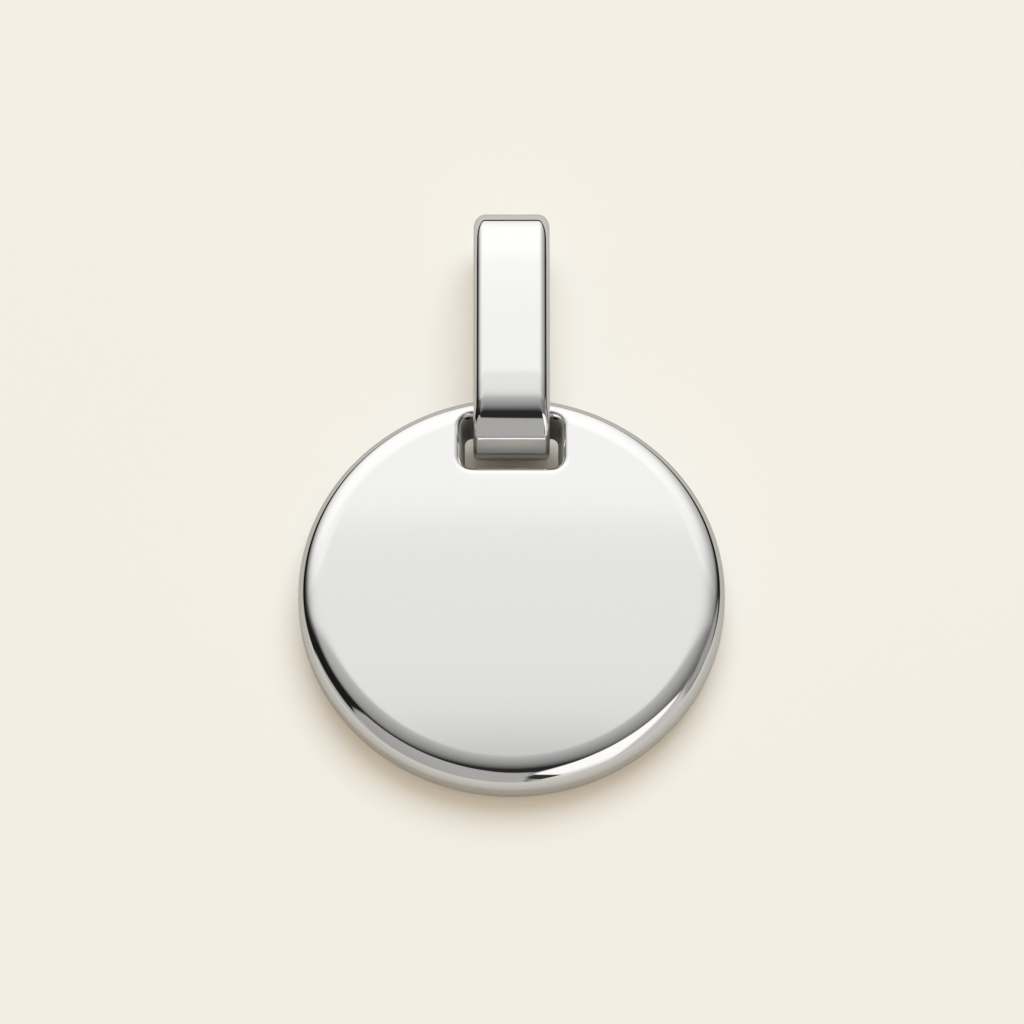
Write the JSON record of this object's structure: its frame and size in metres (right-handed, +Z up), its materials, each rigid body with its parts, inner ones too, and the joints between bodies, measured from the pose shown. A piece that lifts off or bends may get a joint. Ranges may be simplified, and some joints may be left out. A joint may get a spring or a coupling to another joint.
{
  "type": "round pendant with bail",
  "caption": "Plain domed round pendant with a slot near its rim and a flat loop bail that swings round the bridge above the slot; a chain passes through the bail.",
  "frame": {"origin": "on the surface that the pendant lies on, under the middle of its whole length and width", "axes": "+Y from the disc towards the bail, along the length; +Z up, out of the surface; +X to the right as seen from the front"},
  "size_m": [0.015, 0.0224, 0.0033],
  "materials": {
    "polished_silver": "mirror polish"
  },
  "bodies": {
    "disc": {"disc": "polished_silver"},
    "bail": {"bail": "polished_silver"}
  },
  "joints": [
    {"name": "bail_swing", "type": "hinge", "parent": "disc", "child": "bail", "pos_m": [0, 0.00342, 0.00167], "axis": [1, 0, 0], "range_deg": [-115, 118]}
  ]
}
